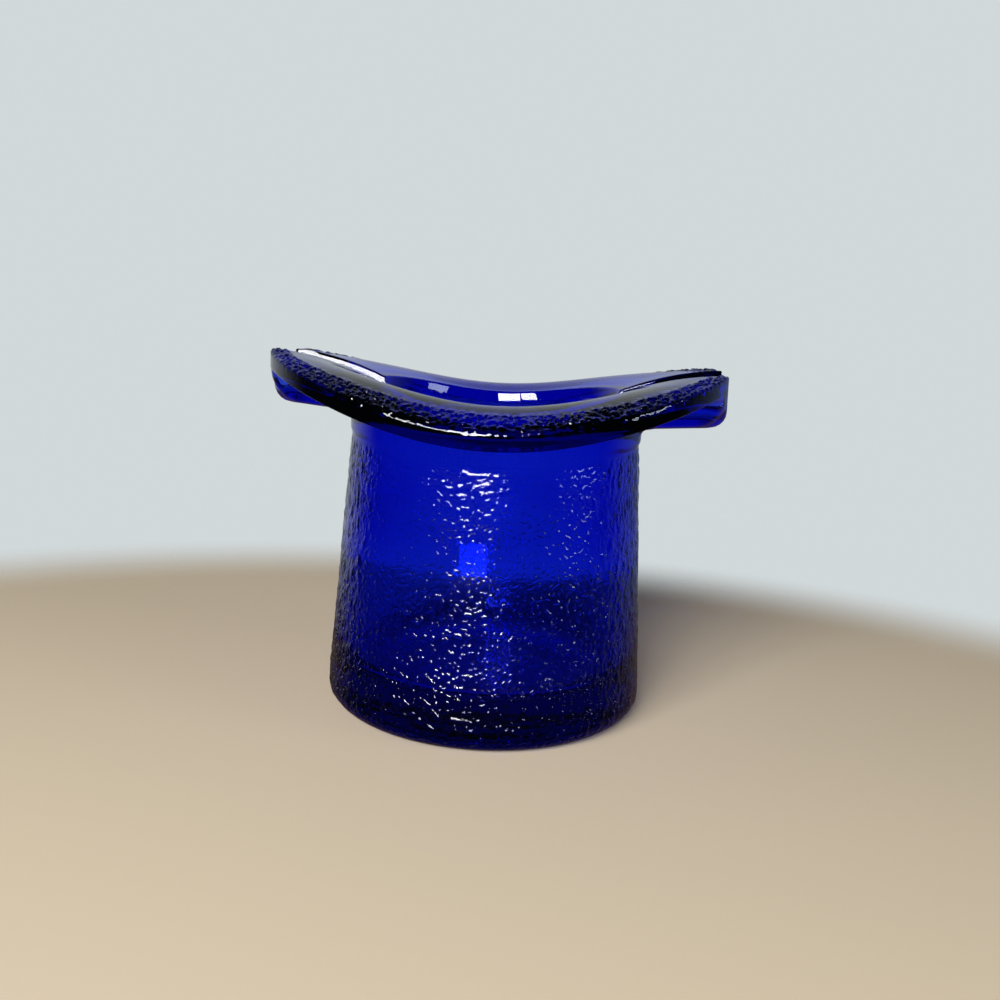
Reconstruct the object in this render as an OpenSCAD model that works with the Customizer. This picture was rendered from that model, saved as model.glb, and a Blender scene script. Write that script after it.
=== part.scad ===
// Pressed-glass top hat that stands on its closed end, with its saddle-shaped brim at the open top.
// A trough at each end of the brim holds a cigarette or a match. The real hat is one piece of glass.
// The nodes are its regions, which meet face to face: the base, the crown's wall, the front and back of
// the brim, and the two rests. All sizes are in millimetres. X runs along the rests and Z points up.

/* [Crown] */
// Height from the underside to the top of the plain crown wall, where the brim begins
crown_h = 52.5; // [45:0.5:60]
// Radius of the opening
opening_r = 23; // [20:0.1:26]
// Thickness of the smooth collar that carries the brim
collar_wall = 4.2; // [3.5:0.1:5]
// Depth of the groove under the collar
groove_depth = 0.4; // [0.2:0.1:0.8]
// Distance from the top of the crown wall down to the groove
groove_drop = 2.6; // [1.5:0.1:5]
// How much larger the radius of the crown's side is at the underside than at the groove
crown_flare = 3.6; // [2.5:0.1:5]
// How much larger the radius of the hollow is at its floor than at the opening
hollow_flare = 2.4; // [1.5:0.1:3]
// Rounding between the hollow's floor and its wall
hollow_round = 4; // [2:0.5:6]

/* [Base] */
// Thickness of the closed end
floor_t = 8; // [6:0.5:12]
// Rounding of the lower outer edge
foot_round = 4; // [2:0.5:5]
// Width of the ring that the hat stands on
standing_ring_w = 2.3; // [1.5:0.1:4]
// Depth of the recess inside that ring
recess_depth = 0.8; // [0.4:0.1:1.5]

/* [Brim] */
// How far the brim reaches past the collar at its ends, along the rests
end_overhang = 15; // [12:0.1:18]
// How far the brim reaches past the collar at the front and back
side_overhang = 10.8; // [9:0.1:14]
// Mean height of the rim above the crown wall
rim_rise = 8.8; // [8:0.1:12]
// How far the rim's bend rises and falls
rim_bend = 4.7; // [0:0.1:5]
// How much the bend is flattened at its ends
rim_flatten = 0.6; // [0:0.1:1]
// Turn of the bend from the line of the rests, in degrees
bend_turn = 5; // [-10:1:10]
// Height of the rim's outer face
rim_h = 2.95; // [2.2:0.05:4]
// Rounding of the rim's edges
rim_round = 0.5; // [0.2:0.1:0.8]
// How far the upper side arches above the straight line from lip to rim, at the front and back
side_arch = 2.5; // [0:0.1:4]
// How far the upper side arches above that line at the rests
end_arch = 0.9; // [0:0.1:2]
// How far the underside arches above the straight line from collar to rim
under_arch = 1; // [0:0.1:2]

/* [Lip] */
// Mean height of the lip's edge above the crown wall
lip_rise = 7.2; // [6.5:0.1:9]
// How far the lip rises and falls
lip_bend = 1.6; // [0:0.1:2]
// How much the lip's bend is flattened at its ends
lip_flatten = 0.3; // [0:0.05:0.6]
// Rounding of the lip's edge
lip_round = 0.6; // [0.3:0.1:1.2]
// Depth of the brim's underside below the lip's edge, at the collar
brim_root = 2.6; // [2:0.1:3.5]
// Fillet between the collar and the brim
collar_fillet = 1.5; // [0.5:0.1:2]

/* [Rests] */
// Half width of each trough at the opening, at half of its depth
trough_half_w = 4.3; // [3:0.1:5]
// How much wider that half width is at the end
trough_flare = 2.4; // [0:0.1:3]
// Height of the trough's floor above the crown wall, at the opening
trough_inner_rise = 4.7; // [4.2:0.1:5.5]
// Height of the trough's floor above the crown wall, at the end
trough_outer_rise = 6.7; // [5.5:0.1:7.5]
// Half width of the swelling under each trough at the opening, at half of its depth
gutter_half_w = 7.3; // [6:0.1:8]
// How much wider that half width is at the end
gutter_flare = 2; // [0:0.1:3]
// Height of the swelling's underside above the crown wall, at the collar
gutter_inner_rise = 2.2; // [1.8:0.1:2.6]
// Height of the swelling's underside above the crown wall, at the end
gutter_outer_rise = 3.5; // [2.5:0.1:4]
// Rounding of the swelling's lower edge at the end
gutter_round = 3.2; // [1:0.1:4]
// Angle that each rest takes up on either side of its middle, in degrees
rest_half_angle = 30; // [25:1:35]

/* [Hidden] */
glass_blue = "#1b1fb5";
$fn = 96;

// Steepness of the walls of a trough and of the swelling under it
trough_power = 10;
gutter_power = 8;
// Share of its least wall or face that a rounding may take
round_share = 0.85;
// Angle of one slice of the brim's long sides, and of a rest
brim_step = 4;
rest_step = 2;
// Steps in each stretch of the brim's section
lip_steps = 3;
top_steps = 8;
edge_steps = 2;
low_steps = 4;
under_steps = 6;
fillet_steps = 3;
foot_steps = 8;
hollow_steps = 3;

collar_r = opening_r + collar_wall;
groove_r = collar_r - groove_depth;
groove_z = crown_h - groove_drop;
brim_half_length = collar_r + end_overhang;
brim_half_depth = collar_r + side_overhang;
// How far a section's outer end lags behind its inner end, in degrees, so that it lies along a rest there
lag = (1 - opening_r / brim_half_depth) * 90 / PI;

function blend(from, to, t) = from + (to - from) * t;
function hump(y, half_w, power) = 1 / (1 + pow(abs(y) / half_w, power));
function side_r(z) = groove_r + crown_flare * (1 - z / groove_z);
function hollow_r(z) = opening_r + hollow_flare * (crown_h - z) / (crown_h - floor_t);

// Angle on the rim that belongs to an angle on the opening
function rim_angle(angle) = angle - lag * sin(2 * angle);

// A height that waves twice around the hat, with its highest points near the rests
function wave(middle, bend, flatten, angle) =
    middle + bend * cos(2 * (angle - bend_turn)) - flatten * cos(4 * (angle - bend_turn));
function rim_top_z(angle) = crown_h + wave(rim_rise, rim_bend, rim_flatten, rim_angle(angle));
function lip_edge_z(angle) = crown_h + wave(lip_rise, lip_bend, lip_flatten, angle);

function opening_point(angle) = opening_r * [cos(angle), sin(angle)];
function rim_point(angle) =
    [brim_half_length * cos(rim_angle(angle)), brim_half_depth * sin(rim_angle(angle))];

// Height of an arch over a straight line, at a share of the line's length
function arch(height, share) = 4 * height * share * (1 - share);

// Height of the brim's upper side at distance s from the opening, with the troughs sunk into it
function top_z(angle, s, length, y) =
    let (
        share = s / length,
        swell = arch(blend(end_arch, side_arch, pow(sin(angle), 2)), share),
        plain = blend(lip_edge_z(angle), rim_top_z(angle), share) + swell,
        trough = crown_h + blend(trough_inner_rise, trough_outer_rise, share)
    )
    blend(plain, min(plain, trough), hump(y, trough_half_w + trough_flare * share, trough_power));

// Height of the brim's underside at distance s from the opening, with the swelling under each trough
function under_z(angle, s, length, collar_s, y) =
    let (
        share = max(0, (s - collar_s) / (length - collar_s)),
        line = blend(lip_edge_z(angle) - brim_root, rim_top_z(angle) - rim_h, share),
        plain = line + arch(under_arch, share),
        gutter = crown_h + blend(gutter_inner_rise, gutter_outer_rise, share)
    )
    blend(plain, min(plain, gutter), hump(y, gutter_half_w + gutter_flare * share, gutter_power));

// One upright section of the brim at an angle on the opening, as a closed loop of points
function brim_section(angle) =
    let (
        from = opening_point(angle),
        reach = rim_point(angle) - from,
        length = norm(reach),
        out = reach / length,
        // Distance at which the section crosses the collar's circle
        collar_s = sqrt(pow(from * out, 2) + pow(collar_r, 2) - pow(opening_r, 2)) - from * out,
        y_at = function (s) from[1] + out[1] * s,
        top = function (s) top_z(angle, s, length, y_at(s)),
        under = function (s) under_z(angle, s, length, collar_s, y_at(s)),
        place = function (s, z) [from[0] + out[0] * s, from[1] + out[1] * s, z],
        face_h = top(length) - under(length) - rim_round,
        at_gutter = hump(y_at(length), gutter_half_w + gutter_flare, gutter_power),
        low = min(blend(rim_round, gutter_round, at_gutter), round_share * face_h),
        fillet = min(collar_fillet, round_share * (under(collar_s) - crown_h)),
        lip_z = top(lip_round),
        edge_s = length - rim_round,
        low_s = length - low,
        root_s = collar_s + fillet
    )
    concat(
        [place(0, crown_h)],
        [for (i = [0 : lip_steps]) let (turn = 90 * i / lip_steps)
            place(lip_round * (1 - cos(turn)), lip_z - lip_round * (1 - sin(turn)))],
        [for (i = [1 : top_steps]) let (s = blend(lip_round, edge_s, i / top_steps)) place(s, top(s))],
        [for (i = [1 : edge_steps]) let (turn = 90 * i / edge_steps)
            place(edge_s + rim_round * sin(turn), top(length) - rim_round * (1 - cos(turn)))],
        [for (i = [0 : low_steps]) let (turn = 90 * i / low_steps, s = length - low * (1 - cos(turn)))
            place(s, under(s) + low * (1 - sin(turn)))],
        [for (i = [1 : under_steps]) let (s = blend(low_s, root_s, i / under_steps)) place(s, under(s))],
        [for (i = [1 : fillet_steps]) let (turn = 90 * i / fillet_steps)
            place(root_s - fillet * sin(turn), under(collar_s) - fillet * (1 - cos(turn)))],
        [place(collar_s, crown_h)]
    );

// The stretch of the brim between two angles on the opening
module brim_sector(first, last, step) {
    slices = ceil((last - first) / step);
    sections = [for (i = [0 : slices]) brim_section(blend(first, last, i / slices))];
    count = len(sections[0]);
    points = [for (section = sections) each section];
    sides = [for (i = [0 : slices - 1], j = [0 : count - 1])
        let (
            here = i * count + j,
            next = i * count + (j + 1) % count
        )
        each [[here, next, next + count], [here, next + count, here + count]]];
    // Each end is a ladder of flat faces between the upper and the lower half of its section
    rungs = [for (j = [0 : count / 2 - 2]) [j, j + 1, count - 2 - j, count - 1 - j]];
    first_end = [for (rung = rungs) [rung[3], rung[2], rung[1], rung[0]]];
    last_end = [for (rung = rungs) [for (corner = rung) corner + slices * count]];
    polyhedron(points, concat(sides, first_end, last_end));
}

// Closed end of the hat, with its rounded lower edge and the recess under it
module base() {
    ring_outer_r = side_r(foot_round) - foot_round;
    recess_r = ring_outer_r - standing_ring_w;
    color(glass_blue)
    rotate_extrude()
    polygon(concat(
        [[0, recess_depth], [recess_r - recess_depth, recess_depth], [recess_r, 0]],
        [for (i = [0 : foot_steps]) let (turn = 90 * i / foot_steps)
            [ring_outer_r + foot_round * sin(turn), foot_round * (1 - cos(turn))]],
        [[side_r(floor_t), floor_t], [0, floor_t]]
    ));
}

// Tapered wall of the crown, up to the groove and the collar
module crown_wall() {
    color(glass_blue)
    rotate_extrude()
    polygon(concat(
        [[side_r(floor_t), floor_t], [groove_r, groove_z], [collar_r, crown_h], [opening_r, crown_h]],
        [for (i = [0 : hollow_steps]) let (turn = 90 * i / hollow_steps)
            [hollow_r(floor_t + hollow_round) - hollow_round * (1 - cos(turn)),
                floor_t + hollow_round * (1 - sin(turn))]]
    ));
}

// Front side of the brim, between the two rests
module front_brim() {
    color(glass_blue) brim_sector(180 + rest_half_angle, 360 - rest_half_angle, brim_step);
}

// Back side of the brim, between the two rests
module back_brim() {
    color(glass_blue) brim_sector(rest_half_angle, 180 - rest_half_angle, brim_step);
}

// Left end of the brim, with its trough
module left_rest() {
    color(glass_blue) brim_sector(180 - rest_half_angle, 180 + rest_half_angle, rest_step);
}

// Right end of the brim, with its trough
module right_rest() {
    color(glass_blue) brim_sector(-rest_half_angle, rest_half_angle, rest_step);
}

base();
crown_wall();
front_brim();
back_brim();
left_rest();
right_rest();
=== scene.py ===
"""Cobalt-blue pressed-glass top hat: one seamless casting that stands on its closed end.

The crown's side is stippled, the margin of the brim is pebbled, and the rest is fire-polished.
Sizes of the hat and the camera's place are in millimetres, and are turned into metres where they
are used. The floor and the lamps are in metres.
"""

import math
from collections import namedtuple

import bpy
from mathutils import Matrix, Vector, noise


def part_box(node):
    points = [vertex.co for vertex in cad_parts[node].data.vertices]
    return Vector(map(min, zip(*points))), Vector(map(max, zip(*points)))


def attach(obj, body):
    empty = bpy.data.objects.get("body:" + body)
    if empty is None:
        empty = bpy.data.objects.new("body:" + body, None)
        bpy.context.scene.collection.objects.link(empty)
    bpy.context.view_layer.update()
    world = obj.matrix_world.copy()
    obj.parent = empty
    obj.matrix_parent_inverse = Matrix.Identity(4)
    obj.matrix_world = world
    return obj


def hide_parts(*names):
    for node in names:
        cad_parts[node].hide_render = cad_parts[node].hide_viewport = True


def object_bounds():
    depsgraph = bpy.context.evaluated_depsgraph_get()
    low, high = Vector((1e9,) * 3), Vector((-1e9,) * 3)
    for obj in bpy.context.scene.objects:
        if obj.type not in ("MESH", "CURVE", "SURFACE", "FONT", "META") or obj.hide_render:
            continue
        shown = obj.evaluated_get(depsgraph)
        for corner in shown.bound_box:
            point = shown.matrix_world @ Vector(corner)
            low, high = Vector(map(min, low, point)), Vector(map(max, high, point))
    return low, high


MM = 0.001
TURN = 2 * math.pi
QUARTER_TURN = TURN / 4

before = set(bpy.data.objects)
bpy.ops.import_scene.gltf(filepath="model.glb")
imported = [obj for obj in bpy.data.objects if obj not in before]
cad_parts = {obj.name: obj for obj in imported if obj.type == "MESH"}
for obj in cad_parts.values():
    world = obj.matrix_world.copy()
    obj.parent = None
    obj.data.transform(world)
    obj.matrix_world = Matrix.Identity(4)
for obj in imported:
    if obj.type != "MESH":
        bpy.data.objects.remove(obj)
cad_low, cad_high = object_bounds()

# Sizes that the frame gives
CROWN_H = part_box("crown_wall")[1].z / MM
FLOOR_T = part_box("base")[1].z / MM
BRIM_HALF_LENGTH = cad_high.x / MM
BRIM_HALF_DEPTH = cad_high.y / MM

# Crown and base
OPENING_R = 23
COLLAR_R = 27.2
SIDE_TOP_R = 27
GROOVE_DROP = 2.6
GROOVE_WAVE = 1.3
COVE_H = 3.4
COVE_DEPTH = 0.04
CROWN_FLARE = 3.4
HOLLOW_FLARE = 1.1
SHOULDER_LOW_Z = 29
SHOULDER_HIGH_Z = 37
SHOULDER_DEPTH = 1.3
HOLLOW_ROUND = 4
FOOT_ROUND = 4
STANDING_RING_W = 2.3
RECESS_DEPTH = 0.8
EDGE_EASE = 0.15

# Brim and lip
RIM_RISE = 8.8
RIM_BEND = 4.85
RIM_FLATTEN = 0.45
BEND_TURN = math.radians(5)
RIM_H = 2.95
RIM_ROUND = 0.4
SIDE_ARCH = 2.5
END_ARCH = 0.9
ARCH_POWER = 4
UNDER_ARCH = 1
LIP_RISE = 7.2
LIP_BEND = 1.6
LIP_FLATTEN = 0.3
LIP_ROUND = 0.6
BRIM_ROOT = 2.6
COLLAR_FILLET = 1.5
THROAT_DEPTH = 0.35

# Turn of a section's outer end against its inner end, from the rests to the drooping sides
END_LAG = 0.03
SIDE_LAG = (1 - OPENING_R / BRIM_HALF_DEPTH) / 2
LAG_START = 0.2
LAG_END = 0.6

# Rests at the two ends of the brim: the trough on top and the gutter under it
TROUGH_HALF_W = 4.3
TROUGH_FLARE = 2.4
TROUGH_INNER_RISE = 4.7
TROUGH_OUTER_RISE = 6.7
TROUGH_POWER = 5
GUTTER_HALF_W = 7.3
GUTTER_FLARE = 2
GUTTER_INNER_RISE = 2.2
GUTTER_OUTER_RISE = 3.5
GUTTER_ROUND = 5
GUTTER_POWER = 8
ROUND_SHARE = 0.85

# Stipple of the crown: mounds with grain in the mesh
MOUND_SIZE = 1.2
MOUND_STRETCH = 1.7
MOUND_DEPTH = 0.15
MOUND_GAIN = 2
MOUND_SINK = 0.5
MOUND_FRONT_LOW = 0.3
MOUND_FRONT_HIGH = 0.2
MOUND_SIDE_START = 0.55
MOUND_SIDE_END = 0.8
MOUND_LOW_Z = 24
MOUND_HIGH_Z = 36
GRAIN_SIZE = 0.8
GRAIN_SHARE = 0.35
STIPPLE_START_Z = 0.8
STIPPLE_FADE = 1.2
STIPPLE_TOP_FADE = 0.6

# Stipple of the crown: dots, and strokes near the groove, in the material
DOT_SIZE = 0.75
DOT_START = 0.51
DOT_END = 0.78
DOT_DEPTH = 0.11
DOT_LOW_Z = 12
DOT_HIGH_Z = 36
DOT_HIGH_SHARE = 0.4
STROKE_SIZE = 0.8
STROKE_LENGTH = 3
STROKE_DEPTH = 0.17
STROKE_MIDDLE = 0.5
STROKE_LOW_Z = 42
STROKE_HIGH_Z = 46
STROKE_START_X = 6
STROKE_END_X = 12

# Pebbles of the brim, outside an ellipse, with specks in the material
PEBBLE_SIZE = 1.1
PEBBLE_DEPTH = 0.55
PEBBLE_SINK = 0.25
PEBBLE_HALF_LENGTH = 38.9
PEBBLE_HALF_DEPTH = 34
PEBBLE_FADE = 0.4
PEBBLE_TROUGH_Y = 7.6
PEBBLE_TROUGH_FADE = 0.6
PEBBLE_WARP = 0.3
PEBBLE_SEED = 7
PEBBLE_CREASE = 0.6
PEBBLE_GRAIN = 0.3
GRAINS_PER_PEBBLE = 2
SPECK_SIZE = 0.4
SPECK_DEPTH = 0.09
SPECK_DETAIL = 1

# Columns of the mesh around the hat, and rows in each stretch of its outline
FINE_COLUMNS = 1024
COLUMN_SHIFT = 0.085
GATHER_SHARE = 0.9
GATHER_ANGLE = math.radians(2)
FOOT_ROWS = 12
CROWN_ROWS = 80
COLLAR_ROWS = 4
FILLET_ROWS = 4
UNDER_ROWS = 8
LOW_ROWS = 5
FACE_ROWS = 3
EDGE_ROWS = 3
EDGE_SHARE = 0.06
EDGE_FADE_ROWS = 3
PEBBLE_ROWS = 16
BAND_ROWS = 9
LIP_ROWS = 4
THROAT_ROWS = 6
WALL_ROWS = 24
HOLLOW_ROWS = 6

# Glass
GLASS_IOR = 1.52
GLASS_SURFACE = (1, 1, 1, 1)
GLASS_COLOUR = (0.04, 0.3, 0.947, 1)
GLASS_DENSITY = 760
POLISH_ROUGHNESS = 0.02
STIPPLE_ROUGHNESS = 0.06
SCUFF_ROUGHNESS = 0.35
SCUFF_Z = 0.5
SCUFF_SIZE = 0.9
SCUFF_DETAIL = 2

# Floor
FLOOR_R = 0.5
FLOOR_BACK = -0.12
FLOOR_FADE_START = 0.2
FLOOR_FADE_END = 0.25
FLOOR_SIDES = 96
FLOOR_COLOUR = (0.47, 0.39, 0.28, 1)
FLOOR_ROUGHNESS = 0.7
FLOOR_SPECULAR = 0.2

# Surroundings: what is shown behind the hat, what it mirrors and what is seen through it
BACKGROUND = (0.64, 0.69, 0.7, 1)
DARK_FRONT = (0.012, 0.014, 0.02, 1)
BELOW = (0.1, 0.065, 0.05, 1)
REFLECTED = (0.42, 0.46, 0.48, 1)
SHADED = (0.12, 0.16, 0.24, 1)
# Backdrop seen through the glass, dimmer than the background: painted shade for the hat's shadow on the
# wall behind it
SEEN_THROUGH_IN_SHADE = (0.53, 0.57, 0.58, 1)
OVERHEAD = (0.35, 0.38, 0.42, 1)
SKY_COLOUR = (0.9, 0.95, 1, 1)
SKY_LEVEL = 0.05

# Directions between which the surroundings change, as parts of a unit vector
BACK_START = 0.1
BACK_END = 0.75
RIGHT_START = -0.1
RIGHT_END = 0.35
BELOW_END = -0.3
ABOVE_START = -0.18
OVERHEAD_START = 0.1
OVERHEAD_END = 0.5

# Lamps, each at an azimuth and an elevation in degrees; in_glass says whether it shows through glass
LAMP_AIM_Z = 30
Lamp = namedtuple("Lamp", "azimuth elevation distance width height radiance colour in_glass")
LAMPS = {
    "key": Lamp(
        azimuth=-6,
        elevation=22.5,
        distance=0.7,
        width=0.28,
        height=0.4,
        radiance=24,
        colour=(1, 1, 1),
        in_glass=True,
    ),
    "side": Lamp(
        azimuth=74,
        elevation=13,
        distance=0.8,
        width=0.3,
        height=0.26,
        radiance=7,
        colour=(0.75, 0.87, 1),
        in_glass=False,
    ),
    "left": Lamp(
        azimuth=-28,
        elevation=24,
        distance=0.7,
        width=0.19,
        height=0.3,
        radiance=22,
        colour=(1, 1, 1),
        in_glass=False,
    ),
}

# Camera
CAMERA_PLACE = (22.56, -187.15, 73.53)
CAMERA_TURN = math.radians(6.446)
CAMERA_DOWN = math.radians(10.38)
CAMERA_ROLL = math.radians(3.015)
CAMERA_LENS = 36
CAMERA_SENSOR_W = 36
CAMERA_CLIP = 10

# One ring of points round the hat, the name of its relief and the share of the relief that it takes
Ring = namedtuple("Ring", "points texture share")


def blend(start, end, share):
    return start + (end - start) * share


def smooth_step(low, high, value):
    """A share that goes smoothly from 0 to 1 while a value goes from low to high."""
    share = min(1, max(0, (value - low) / (high - low)))
    return share * share * (3 - 2 * share)


def hump(y, half_w, power):
    """A share that is 1 on the middle line and falls off past a half width."""
    return 1 / (1 + (abs(y) / half_w) ** power)


def channel(y, half_w):
    """Depth of a channel as a share of its full depth, with steep sides at its edges."""
    return max(0, 1 - (abs(y) / half_w) ** TROUGH_POWER)


def arch(height, share):
    """Height of an arch over a straight line, at a share of the line's length."""
    return 4 * height * share * (1 - share)


def wave(middle, bend, flatten, angle):
    """A height that waves twice around the hat, with its highest points near the rests."""
    turned = angle - BEND_TURN
    return middle + bend * math.cos(2 * turned) - flatten * math.cos(4 * turned)


def side_r(z):
    """Radius of the crown's side."""
    return SIDE_TOP_R + CROWN_FLARE * (1 - z / (CROWN_H - GROOVE_DROP))


def groove_z(angle):
    """Height of the groove, which waves twice around the hat."""
    return CROWN_H - GROOVE_DROP + GROOVE_WAVE * math.cos(2 * angle)


def hollow_r(z):
    """Radius of the hollow, which widens below a slight shoulder."""
    r = OPENING_R + HOLLOW_FLARE * (CROWN_H - z) / (CROWN_H - FLOOR_T)
    return r + SHOULDER_DEPTH * (1 - smooth_step(SHOULDER_LOW_Z, SHOULDER_HIGH_Z, z))


def throat(share):
    """Narrowing of the opening below the lip, which is deepest a third of the way down."""
    deepest = 4 / 27
    return THROAT_DEPTH * share * (1 - share) ** 2 / deepest


class Section:
    """One upright section of the brim, from an angle on the opening out to the rim.

    A point on it has a distance s from the opening and a height z.
    """

    def __init__(self, angle):
        lag = blend(END_LAG, SIDE_LAG, smooth_step(LAG_START, LAG_END, abs(math.sin(angle))))
        rim_angle = angle - lag * math.sin(2 * angle)
        rim = Vector((BRIM_HALF_LENGTH * math.cos(rim_angle), BRIM_HALF_DEPTH * math.sin(rim_angle)))
        self.start = OPENING_R * Vector((math.cos(angle), math.sin(angle)))
        self.length = (rim - self.start).length
        self.out = (rim - self.start) / self.length
        along = self.start.dot(self.out)
        self.collar_s = math.sqrt(along**2 + COLLAR_R**2 - OPENING_R**2) - along
        self.lip_z = CROWN_H + wave(LIP_RISE, LIP_BEND, LIP_FLATTEN, angle)
        self.rim_z = CROWN_H + wave(RIM_RISE, RIM_BEND, RIM_FLATTEN, rim_angle)
        self.arch_h = blend(END_ARCH, SIDE_ARCH, math.sin(angle) ** ARCH_POWER)

    def plan(self, s):
        return self.start + self.out * s

    def place(self, s, z):
        return (*self.plan(s), z)

    def top(self, s):
        """Height of the brim's upper side, with the trough cut into it."""
        share = s / self.length
        plain = blend(self.lip_z, self.rim_z, share) + arch(self.arch_h, share)
        trough = CROWN_H + blend(TROUGH_INNER_RISE, TROUGH_OUTER_RISE, share)
        half_w = TROUGH_HALF_W + TROUGH_FLARE * share
        return blend(plain, min(plain, trough), channel(self.plan(s).y, half_w))

    def under(self, s):
        """Height of the brim's underside, with the gutter hanging below it."""
        share = max(0, (s - self.collar_s) / (self.length - self.collar_s))
        plain = blend(self.lip_z - BRIM_ROOT, self.rim_z - RIM_H, share) + arch(UNDER_ARCH, share)
        gutter = CROWN_H + blend(GUTTER_INNER_RISE, GUTTER_OUTER_RISE, share)
        half_w = GUTTER_HALF_W + GUTTER_FLARE * share
        return blend(plain, min(plain, gutter), hump(self.plan(s).y, half_w, GUTTER_POWER))

    def pebble_s(self):
        """Distance at which the section crosses the ellipse where the pebbles begin."""
        size = Vector((1 / PEBBLE_HALF_LENGTH, 1 / PEBBLE_HALF_DEPTH))
        start = self.start * size
        out = self.out * size
        middle = start.dot(out) / out.length_squared
        rest = (start.length_squared - 1) / out.length_squared
        return math.sqrt(middle * middle - rest) - middle

    def collar_angle(self):
        collar = self.plan(self.collar_s)
        return math.atan2(collar.y, collar.x)


def quarter(rows, first=0):
    """Angles of the rows that go round a quarter turn."""
    return [QUARTER_TURN * row / rows for row in range(first, rows + 1)]


def steps(start, end, rows):
    """Values from just after start up to end."""
    return [blend(start, end, row / rows) for row in range(1, rows + 1)]


def outer_outline(section):
    """Points of the brim's underside and rim, from the top of the collar up the rim's face."""
    length = section.length
    face_top = section.top(length) - RIM_ROUND
    face_h = face_top - section.under(length)
    at_gutter = hump(section.plan(length).y, GUTTER_HALF_W + GUTTER_FLARE, GUTTER_POWER)
    low = min(blend(RIM_ROUND, GUTTER_ROUND, at_gutter), ROUND_SHARE * face_h)
    root_z = section.under(section.collar_s)
    fillet = min(COLLAR_FILLET, ROUND_SHARE * (root_z - CROWN_H))
    root_s = section.collar_s + fillet
    points = [(section.collar_s, CROWN_H)]
    for turn in quarter(FILLET_ROWS):
        points.append((root_s - fillet * math.cos(turn), root_z - fillet * (1 - math.sin(turn))))
    for s in steps(root_s, length - low, UNDER_ROWS):
        points.append((s, section.under(s)))
    for turn in quarter(LOW_ROWS, 1):
        s = length - low * (1 - math.sin(turn))
        points.append((s, section.under(s) + low * (1 - math.cos(turn))))
    for z in steps(section.under(length) + low, face_top, FACE_ROWS)[:-1]:
        points.append((length, z))
    return points


def edge_outline(section):
    """Points of the rim's rounded upper edge."""
    face_top = section.top(section.length) - RIM_ROUND
    points = []
    for turn in quarter(EDGE_ROWS)[:-1]:
        s = section.length - RIM_ROUND * (1 - math.cos(turn))
        points.append((s, face_top + RIM_ROUND * math.sin(turn)))
    return points


def pebble_outline(section):
    """Points of the brim's upper side from the rim in to where the pebbles begin."""
    edge_s = section.length - RIM_ROUND
    inner_s = section.pebble_s() - PEBBLE_FADE
    return [(s, section.top(s)) for s in [edge_s, *steps(edge_s, inner_s, PEBBLE_ROWS)]]


def inner_outline(section):
    """Points of the smooth band and the lip's edge, down to the top of the hollow."""
    inner_s = section.pebble_s() - PEBBLE_FADE
    points = [(s, section.top(s)) for s in steps(inner_s, LIP_ROUND, BAND_ROWS)]
    lip_z = section.top(LIP_ROUND)
    for turn in quarter(LIP_ROWS, 1):
        points.append((LIP_ROUND * (1 - math.sin(turn)), lip_z - LIP_ROUND * (1 - math.cos(turn))))
    for share in steps(0, 1, THROAT_ROWS):
        points.append((-throat(share), blend(lip_z - LIP_ROUND, CROWN_H, share)))
    return points


def round_ring(r, z, columns):
    return [(r * math.cos(angle), r * math.sin(angle), z) for angle in columns]


def standing_r():
    """Outer radius of the ring that the hat stands on."""
    return side_r(FOOT_ROUND) - FOOT_ROUND


def base_outline():
    """Radius and height of the underside's rings, from the middle outwards."""
    recess_r = standing_r() - STANDING_RING_W
    return [
        (recess_r / 2, RECESS_DEPTH),
        (recess_r - RECESS_DEPTH - EDGE_EASE, RECESS_DEPTH),
        (recess_r - RECESS_DEPTH + EDGE_EASE, RECESS_DEPTH - EDGE_EASE),
        (recess_r - EDGE_EASE, EDGE_EASE),
        (recess_r + EDGE_EASE, 0),
    ]


def foot_rings(columns):
    """Rings of the rounded lower edge."""
    rings = []
    for turn in quarter(FOOT_ROWS)[:-1]:
        r = standing_r() + FOOT_ROUND * math.sin(turn)
        rings.append(round_ring(r, FOOT_ROUND * (1 - math.cos(turn)), columns))
    return rings


def crown_rings(columns):
    """Rings of the crown's side, up to the cove under the waved groove."""
    rings = []
    for row in range(CROWN_ROWS + 1):
        ring = []
        for angle in columns:
            z = blend(FOOT_ROUND, groove_z(angle), row / CROWN_ROWS)
            into_cove = max(0, 1 - (groove_z(angle) - z) / COVE_H)
            r = side_r(z) - COVE_DEPTH * into_cove * into_cove
            ring.append((r * math.cos(angle), r * math.sin(angle), z))
        rings.append(ring)
    return rings


def collar_rings(columns):
    """Rings of the smooth collar that swells out above the groove."""
    rings = []
    for turn in quarter(COLLAR_ROWS, 1)[:-1]:
        ring = []
        for angle in columns:
            groove_r = side_r(groove_z(angle)) - COVE_DEPTH
            z = blend(groove_z(angle), CROWN_H, turn / QUARTER_TURN)
            r = blend(groove_r, COLLAR_R, math.sin(turn) ** 2)
            ring.append((r * math.cos(angle), r * math.sin(angle), z))
        rings.append(ring)
    return rings


def hollow_rings(columns):
    """Rings of the hollow's wall and floor, from the opening down to the middle."""
    round_z = FLOOR_T + HOLLOW_ROUND
    rings = [round_ring(hollow_r(z), z, columns) for z in steps(CROWN_H, round_z, WALL_ROWS)]
    corner_r = hollow_r(round_z) - HOLLOW_ROUND
    for turn in quarter(HOLLOW_ROWS, 1):
        r = corner_r + HOLLOW_ROUND * math.cos(turn)
        rings.append(round_ring(r, round_z - HOLLOW_ROUND * math.sin(turn), columns))
    rings.append(round_ring(corner_r / 2, FLOOR_T, columns))
    return rings


def gather(gap):
    """How far a column moves towards the edge of a trough that is a small angle away."""
    return GATHER_SHARE * gap * math.exp(-((gap / GATHER_ANGLE) ** 2))


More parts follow.
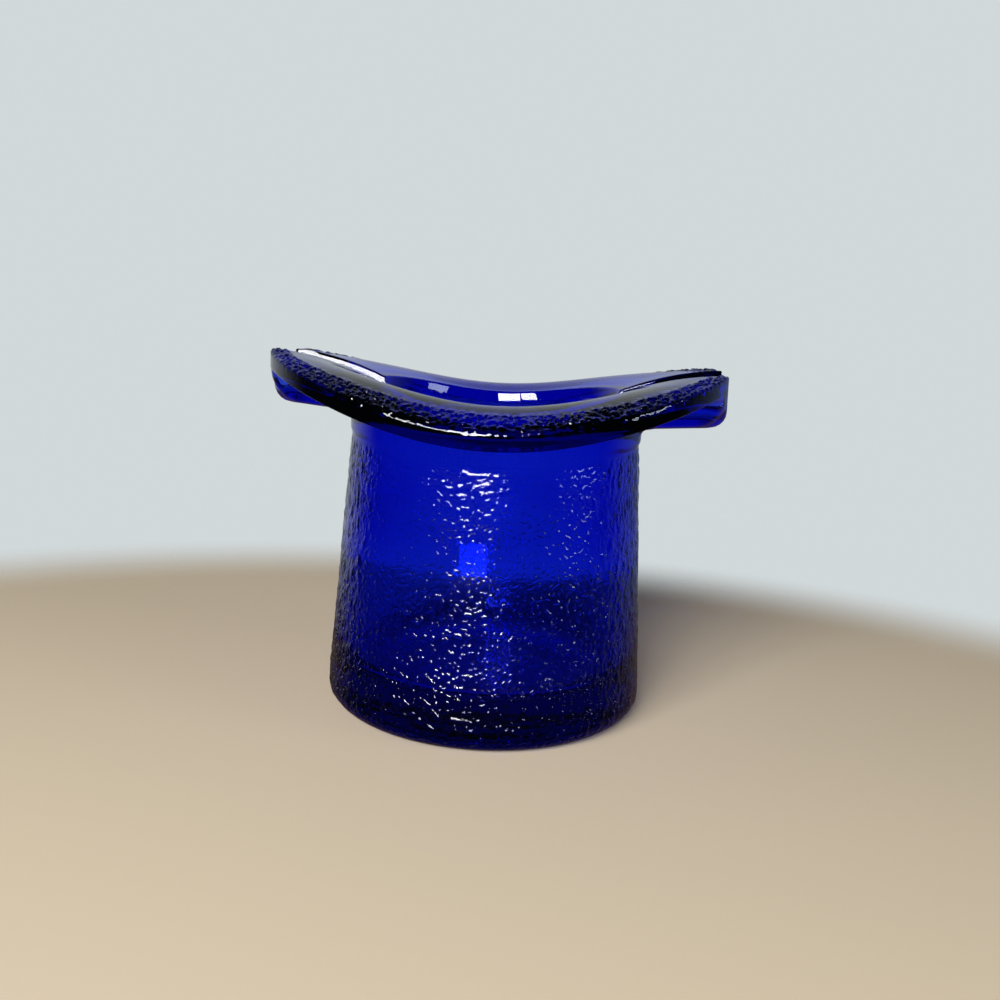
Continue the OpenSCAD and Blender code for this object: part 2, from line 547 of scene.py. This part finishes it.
def column_angles(count):
    """Angles of the mesh's columns on the opening, closer together at the front, back and troughs."""
    evenly = [TURN * column / count for column in range(count)]
    spread = [angle + COLUMN_SHIFT * math.sin(2 * angle) for angle in evenly]
    edge = math.asin(TROUGH_HALF_W / OPENING_R)
    edges = [edge, math.pi - edge, math.pi + edge, TURN - edge]
    return [angle - sum(gather(angle - at) for at in edges) for angle in spread]


def halve(columns):
    """Every second column, for rings that need less detail."""
    return columns[::2]


def plain_rings(lists):
    return [Ring(points, None, 0) for points in lists]


def brim_rings(sections, outline):
    """Rings through the points that an outline has on each section."""
    outlines = [[section.place(s, z) for s, z in outline(section)] for section in sections]
    return [list(ring) for ring in zip(*outlines)]


def hat_rings():
    """Every ring of the surface, from the middle of the underside round to the middle of the floor."""
    angles = column_angles(FINE_COLUMNS)
    fine = [Section(angle) for angle in angles]
    coarse = halve(fine)
    collar_angles = [section.collar_angle() for section in coarse]
    rings = plain_rings([[(0, 0, RECESS_DEPTH)]])
    rings += plain_rings(round_ring(r, z, halve(collar_angles)) for r, z in base_outline())
    for points in foot_rings(collar_angles) + crown_rings(collar_angles):
        rings.append(Ring(points, "stipple", 1))
    rings += plain_rings(collar_rings(collar_angles))
    rings += plain_rings(brim_rings(coarse, outer_outline))
    margin = brim_rings(fine, edge_outline) + brim_rings(fine, pebble_outline)
    for row, points in enumerate(margin):
        share = min(1, row / (EDGE_ROWS + EDGE_FADE_ROWS))
        rings.append(Ring(points, "pebble", blend(EDGE_SHARE, 1, share)))
    rings += plain_rings(brim_rings(coarse, inner_outline))
    rings += plain_rings(hollow_rings(halve(halve(angles))))
    rings += plain_rings([[(0, 0, FLOOR_T)]])
    return rings


def neighbours(ring):
    """Each item of a ring with the one after it."""
    return zip(ring, ring[1:] + ring[:1])


def bridge(first, second):
    """Faces between two rings of point numbers, where the count may double, halve or come to a point."""
    if len(first) == 1:
        return [(first[0], after, here) for here, after in neighbours(second)]
    if len(second) == 1:
        return [(second[0], here, after) for here, after in neighbours(first)]
    if len(first) == len(second):
        return [
            (here, after, above_after, above)
            for (here, after), (above, above_after) in zip(neighbours(first), neighbours(second))
        ]
    faces = []
    doubled = len(second) > len(first)
    few, many = (first, second) if doubled else (second, first)
    for column, (here, after) in enumerate(neighbours(few)):
        left = many[2 * column]
        middle = many[2 * column + 1]
        right = many[(2 * column + 2) % len(many)]
        fan = [(here, middle, left), (here, after, middle), (after, right, middle)]
        faces += fan if doubled else [face[::-1] for face in fan]
    return faces


def perlin(at):
    return noise.noise(at, noise_basis="PERLIN_ORIGINAL")


def stipple_weight(point):
    """How strong the stipple is: none on the standing ring and at the groove."""
    x, y, z = point
    top_z = groove_z(math.atan2(y, x))
    weight = smooth_step(STIPPLE_START_Z, STIPPLE_START_Z + STIPPLE_FADE, z)
    return weight * (1 - smooth_step(top_z - STIPPLE_TOP_FADE, top_z, z))


def stipple(point):
    """Relief of the crown's side: rounded mounds with creases between them, deepest below the rests."""
    x, y, z = point
    at = Vector((x, y, z / MOUND_STRETCH))
    mounds = MOUND_GAIN * abs(perlin(at / MOUND_SIZE)) - MOUND_SINK
    grain = perlin(at / GRAIN_SIZE)
    to_side = smooth_step(MOUND_SIDE_START, MOUND_SIDE_END, abs(x) / math.hypot(x, y))
    at_front = blend(MOUND_FRONT_LOW, MOUND_FRONT_HIGH, smooth_step(MOUND_LOW_Z, MOUND_HIGH_Z, z))
    return MOUND_DEPTH * blend(at_front, 1, to_side) * (mounds + GRAIN_SHARE * grain)


def pebble_weight(point):
    """How strong the pebbles are: none inside their ellipse and in the troughs."""
    x, y = point[:2]
    across = math.hypot(x / PEBBLE_HALF_LENGTH, y / PEBBLE_HALF_DEPTH)
    outside = (across - 1) * PEBBLE_HALF_DEPTH
    weight = smooth_step(-PEBBLE_FADE, PEBBLE_FADE, outside)
    return weight * smooth_step(PEBBLE_TROUGH_Y, PEBBLE_TROUGH_Y + PEBBLE_TROUGH_FADE, abs(y))


def pebbles(point):
    """Relief of the brim's margin: rounded pebbles with creases between them."""
    at = Vector(point) / PEBBLE_SIZE
    at += PEBBLE_WARP * noise.noise_vector(at)
    near = noise.voronoi(at)[0]
    crease = min(1, (near[1] - near[0]) / PEBBLE_CREASE)
    dome = 1 - (1 - crease) ** 2
    return PEBBLE_DEPTH * (dome + PEBBLE_GRAIN * perlin(GRAINS_PER_PEBBLE * at) - PEBBLE_SINK)


TEXTURES = {"stipple": (stipple_weight, stipple), "pebble": (pebble_weight, pebbles)}


def make_hat():
    """The hat as one closed mesh, with its relief and marks that say how strong the relief is."""
    noise.seed_set(PEBBLE_SEED)
    rings = hat_rings()
    points = [point for ring in rings for point in ring.points]
    numbers = []
    for ring in rings:
        first = numbers[-1][-1] + 1 if numbers else 0
        numbers.append(list(range(first, first + len(ring.points))))
    faces = [face for below, above in zip(numbers, numbers[1:]) for face in bridge(below, above)]
    mesh = bpy.data.meshes.new("glass_hat")
    mesh.from_pydata([MM * Vector(point) for point in points], [], faces)
    normals = [vertex.normal.copy() for vertex in mesh.vertices]
    marks = {name: mesh.attributes.new(name, "FLOAT", "POINT") for name in TEXTURES}
    for ring, ring_numbers in zip(rings, numbers):
        if ring.texture is None:
            continue
        weigh, relief = TEXTURES[ring.texture]
        for number in ring_numbers:
            weight = ring.share * weigh(points[number])
            if weight:
                marks[ring.texture].data[number].value = weight
                mesh.vertices[number].co += MM * weight * relief(points[number]) * normals[number]
    mesh.shade_smooth()
    mesh.update()
    hat = bpy.data.objects.new("glass_hat", mesh)
    bpy.context.scene.collection.objects.link(hat)
    return hat


def new_material(name):
    material = bpy.data.materials.new(name)
    material.use_nodes = True
    return material, material.node_tree, material.node_tree.nodes["Principled BSDF"]


def add_math(tree, operation, first, second):
    """A math node on two values, each a socket or a number."""
    node = tree.nodes.new("ShaderNodeMath")
    node.operation = operation
    for socket, value in zip(node.inputs, (first, second)):
        if isinstance(value, (int, float)):
            socket.default_value = value
        else:
            tree.links.new(value, socket)
    return node.outputs[0]


def add_product(tree, product, *others):
    """Values multiplied together, each a socket or a number."""
    for other in others:
        product = add_math(tree, "MULTIPLY", product, other)
    return product


def add_ramp(tree, value, low, high, start, end):
    """A value that goes smoothly from start to end while another goes from low to high."""
    node = tree.nodes.new("ShaderNodeMapRange")
    node.interpolation_type = "SMOOTHSTEP"
    tree.links.new(value, node.inputs["Value"])
    node.inputs["From Min"].default_value = low
    node.inputs["From Max"].default_value = high
    node.inputs["To Min"].default_value = start
    node.inputs["To Max"].default_value = end
    return node.outputs["Result"]


def add_split(tree, vector):
    """The X, Y and Z parts of a vector."""
    node = tree.nodes.new("ShaderNodeSeparateXYZ")
    tree.links.new(vector, node.inputs["Vector"])
    return node.outputs


def add_mark(tree, name):
    node = tree.nodes.new("ShaderNodeAttribute")
    node.attribute_name = name
    return node.outputs["Fac"]


def add_noise(tree, place, size, detail=0):
    node = tree.nodes.new("ShaderNodeTexNoise")
    node.inputs["Scale"].default_value = 1 / (size * MM)
    node.inputs["Detail"].default_value = detail
    tree.links.new(place, node.inputs["Vector"])
    return node.outputs["Fac"]


def add_bump(tree, height, depth, normal=None):
    node = tree.nodes.new("ShaderNodeBump")
    node.inputs["Distance"].default_value = depth * MM
    tree.links.new(height, node.inputs["Height"])
    if normal:
        tree.links.new(normal, node.inputs["Normal"])
    return node.outputs["Normal"]


def add_mix(tree, factor, first, second):
    node = tree.nodes.new("ShaderNodeMixShader")
    tree.links.new(factor, node.inputs["Fac"])
    tree.links.new(first, node.inputs[1])
    tree.links.new(second, node.inputs[2])
    return node.outputs["Shader"]


def add_background(tree, colour, strength=1):
    node = tree.nodes.new("ShaderNodeBackground")
    node.inputs["Color"].default_value = colour
    node.inputs["Strength"].default_value = strength
    return node.outputs["Background"]


def add_strokes(tree, place, parts):
    """Level strokes high on the crown, which fade out to the right."""
    squeeze = tree.nodes.new("ShaderNodeVectorMath")
    squeeze.operation = "MULTIPLY"
    squeeze.inputs[1].default_value = (1 / STROKE_LENGTH, 1 / STROKE_LENGTH, 1)
    tree.links.new(place, squeeze.inputs[0])
    strokes = add_noise(tree, squeeze.outputs["Vector"], STROKE_SIZE)
    strokes = add_math(tree, "SUBTRACT", strokes, STROKE_MIDDLE)
    near_top = add_ramp(tree, parts["Z"], STROKE_LOW_Z * MM, STROKE_HIGH_Z * MM, 0, 1)
    not_right = add_ramp(tree, parts["X"], STROKE_START_X * MM, STROKE_END_X * MM, 1, 0)
    return add_product(tree, strokes, near_top, not_right)


def add_scuffs(tree, place, parts):
    """Roughness of the scuffed ring that the hat stands on."""
    near_foot = add_ramp(tree, parts["Z"], 0, SCUFF_Z * MM, 1, 0)
    scuffs = add_noise(tree, place, SCUFF_SIZE, SCUFF_DETAIL)
    return add_product(tree, scuffs, SCUFF_ROUGHNESS, near_foot)


def glass_material():
    """Clear cobalt glass: the colour comes from the depth of glass that the light passes."""
    material, tree, shader = new_material("cobalt_glass")
    shader.inputs["Base Color"].default_value = GLASS_SURFACE
    shader.inputs["Transmission Weight"].default_value = 1
    shader.inputs["IOR"].default_value = GLASS_IOR
    place = tree.nodes.new("ShaderNodeTexCoord").outputs["Object"]
    parts = add_split(tree, place)
    stippled = add_mark(tree, "stipple")
    pebbled = add_mark(tree, "pebble")
    low = add_ramp(tree, parts["Z"], DOT_LOW_Z * MM, DOT_HIGH_Z * MM, 1, DOT_HIGH_SHARE)
    stippled_low = add_product(tree, stippled, low)
    dots = add_ramp(tree, add_noise(tree, place, DOT_SIZE), DOT_START, DOT_END, 0, 1)
    strokes = add_strokes(tree, place, parts)
    specks = add_noise(tree, place, SPECK_SIZE, SPECK_DETAIL)
    normal = add_bump(tree, add_product(tree, dots, stippled_low), DOT_DEPTH)
    normal = add_bump(tree, add_product(tree, strokes, stippled), STROKE_DEPTH, normal)
    normal = add_bump(tree, add_product(tree, specks, pebbled), SPECK_DEPTH, normal)
    tree.links.new(normal, shader.inputs["Normal"])
    frosted = add_product(tree, stippled_low, STIPPLE_ROUGHNESS)
    roughness = add_math(tree, "MAXIMUM", frosted, add_scuffs(tree, place, parts))
    roughness = add_math(tree, "MAXIMUM", roughness, POLISH_ROUGHNESS)
    tree.links.new(roughness, shader.inputs["Roughness"])
    body = tree.nodes.new("ShaderNodeVolumeAbsorption")
    body.inputs["Color"].default_value = GLASS_COLOUR
    body.inputs["Density"].default_value = GLASS_DENSITY
    tree.links.new(body.outputs["Volume"], tree.nodes["Material Output"].inputs["Volume"])
    return material


def floor_material():
    """Plain pale surface that fades into the background all round."""
    material, tree, shader = new_material("floor")
    shader.inputs["Base Color"].default_value = FLOOR_COLOUR
    shader.inputs["Roughness"].default_value = FLOOR_ROUGHNESS
    shader.inputs["Specular IOR Level"].default_value = FLOOR_SPECULAR
    place = tree.nodes.new("ShaderNodeTexCoord").outputs["Object"]
    distance = tree.nodes.new("ShaderNodeVectorMath")
    distance.operation = "LENGTH"
    tree.links.new(place, distance.inputs[0])
    fade = add_ramp(tree, distance.outputs["Value"], FLOOR_FADE_START, FLOOR_FADE_END, 0, 1)
    clear = tree.nodes.new("ShaderNodeBsdfTransparent")
    surface = add_mix(tree, fade, shader.outputs["BSDF"], clear.outputs["BSDF"])
    tree.links.new(surface, tree.nodes["Material Output"].inputs["Surface"])
    return material


def make_floor():
    mesh = bpy.data.meshes.new("floor")
    rim = [FLOOR_R * Vector((math.cos(turn), math.sin(turn), 0)) for turn in steps(0, TURN, FLOOR_SIDES)]
    mesh.from_pydata(rim, [], [list(range(FLOOR_SIDES))])
    mesh.materials.append(floor_material())
    floor = bpy.data.objects.new("floor", mesh)
    floor.location.y = FLOOR_BACK
    floor.visible_glossy = False
    bpy.context.scene.collection.objects.link(floor)


def direction(azimuth, elevation):
    """Unit vector towards a lamp, with azimuth 0 at the front and 90 degrees on the right."""
    around = math.radians(azimuth)
    up = math.radians(elevation)
    return Vector((math.cos(up) * math.sin(around), -math.cos(up) * math.cos(around), math.sin(up)))


def add_lamp(name, lamp):
    light = bpy.data.lights.new(name, "AREA")
    light.shape = "RECTANGLE"
    light.size = lamp.width
    light.size_y = lamp.height
    light.energy = lamp.radiance * math.pi * lamp.width * lamp.height
    light.color = lamp.colour
    target = Vector((0, 0, LAMP_AIM_Z * MM))
    place = bpy.data.objects.new(name, light)
    place.location = target + lamp.distance * direction(lamp.azimuth, lamp.elevation)
    place.rotation_euler = (target - place.location).to_track_quat("-Z", "Y").to_euler()
    place.visible_camera = False
    place.visible_transmission = lamp.in_glass
    bpy.context.scene.collection.objects.link(place)


def make_world():
    """Soft light all round, a pale background, reflections that darken towards the front and, as painted
    shade, to the right, and a backdrop seen through the glass that is dimmed as painted shade.
    """
    world = bpy.data.worlds.new("studio")
    world.use_nodes = True
    tree = world.node_tree
    rays = tree.nodes.new("ShaderNodeLightPath").outputs
    parts = add_split(tree, tree.nodes.new("ShaderNodeTexCoord").outputs["Generated"])
    towards_back = add_ramp(tree, parts["Y"], BACK_START, BACK_END, 0, 1)
    to_right = add_ramp(tree, parts["X"], RIGHT_START, RIGHT_END, 0, 1)
    above = add_ramp(tree, parts["Z"], BELOW_END, ABOVE_START, 0, 1)
    overhead = add_ramp(tree, parts["Z"], OVERHEAD_START, OVERHEAD_END, 0, 1)
    sky = add_background(tree, SKY_COLOUR, SKY_LEVEL)
    shown = add_background(tree, BACKGROUND)
    wall = add_mix(tree, to_right, add_background(tree, REFLECTED), add_background(tree, SHADED))
    behind = add_mix(tree, above, add_background(tree, BELOW), wall)
    reflected = add_mix(tree, towards_back, add_background(tree, DARK_FRONT), behind)
    # Seen through the glass: the backdrop dimmed as painted shade, and the ceiling overhead
    through = add_mix(tree, overhead, add_background(tree, SEEN_THROUGH_IN_SHADE), add_background(tree, OVERHEAD))
    whole = add_mix(tree, rays["Is Glossy Ray"], sky, reflected)
    whole = add_mix(tree, rays["Is Transmission Ray"], whole, through)
    whole = add_mix(tree, rays["Is Camera Ray"], whole, shown)
    tree.links.new(whole, tree.nodes["World Output"].inputs["Surface"])
    bpy.context.scene.world = world


def make_camera():
    data = bpy.data.cameras.new("camera")
    data.lens = CAMERA_LENS
    data.sensor_width = CAMERA_SENSOR_W
    data.clip_start = CAMERA_CLIP * MM
    camera = bpy.data.objects.new("camera", data)
    place = Matrix.Translation(MM * Vector(CAMERA_PLACE))
    turn = Matrix.Rotation(CAMERA_TURN, 4, "Z")
    tilt = Matrix.Rotation(QUARTER_TURN - CAMERA_DOWN, 4, "X")
    roll = Matrix.Rotation(CAMERA_ROLL, 4, "Z")
    camera.matrix_world = place @ turn @ tilt @ roll
    bpy.context.scene.collection.objects.link(camera)
    bpy.context.scene.camera = camera


make_camera()
make_world()
make_floor()
for lamp_name, lamp_values in LAMPS.items():
    add_lamp(lamp_name, lamp_values)

hat = make_hat()
hat.data.materials.append(glass_material())
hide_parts("base", "crown_wall", "front_brim", "back_brim", "left_rest", "right_rest")
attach(hat, "root")

scene = bpy.context.scene
scene.view_settings.view_transform = "Standard"
